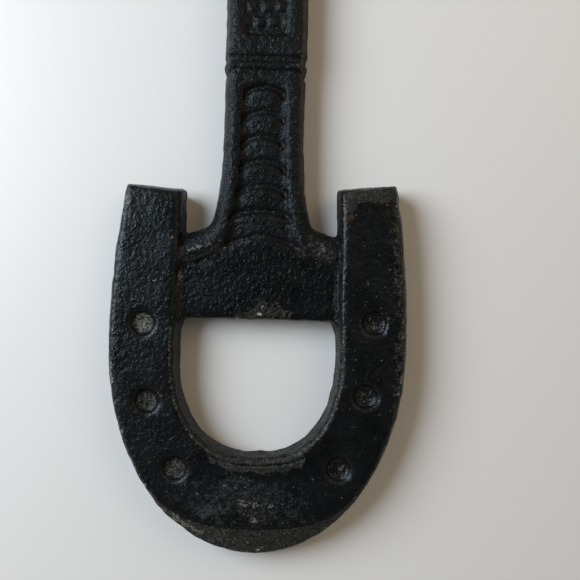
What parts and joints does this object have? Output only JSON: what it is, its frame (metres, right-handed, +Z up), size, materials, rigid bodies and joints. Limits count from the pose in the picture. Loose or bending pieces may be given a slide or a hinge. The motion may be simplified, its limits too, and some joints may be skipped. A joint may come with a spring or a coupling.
{
  "type": "fire hydrant wrench",
  "caption": "Flat cast-iron hydrant wrench: a horseshoe-shaped head with a D-shaped eye, a ribbed handle with a padded grip, and a pentagon socket ring at the far end.",
  "frame": {"origin": "middle of the base of the bounding box, with the wrench lying flat", "axes": "+Y runs along the tool from the horseshoe's toe to the socket ring, +X is to the right across it, +Z is up out of the surface it lies on"},
  "size_m": [0.1188, 0.4, 0.015],
  "materials": {
    "head_paint": "black paint over sand-cast iron, worn to brown-grey iron at the edges, eye and recesses",
    "web_paint": "coarse black paint over sand-cast iron with rust along the straight edge",
    "handle_paint": "black paint over sand-cast iron, thin on the ridges and side walls",
    "socket_paint": "black paint over sand-cast iron, worn bright grey inside the pentagon"
  },
  "bodies": {
    "root": {"horseshoe_head": "head_paint", "web_plate": "web_paint", "shank": "handle_paint", "lower_collar": "handle_paint", "grip": "handle_paint", "upper_collar": "handle_paint", "neck": "handle_paint", "pentagon_socket": "socket_paint"}
  },
  "joints": []
}
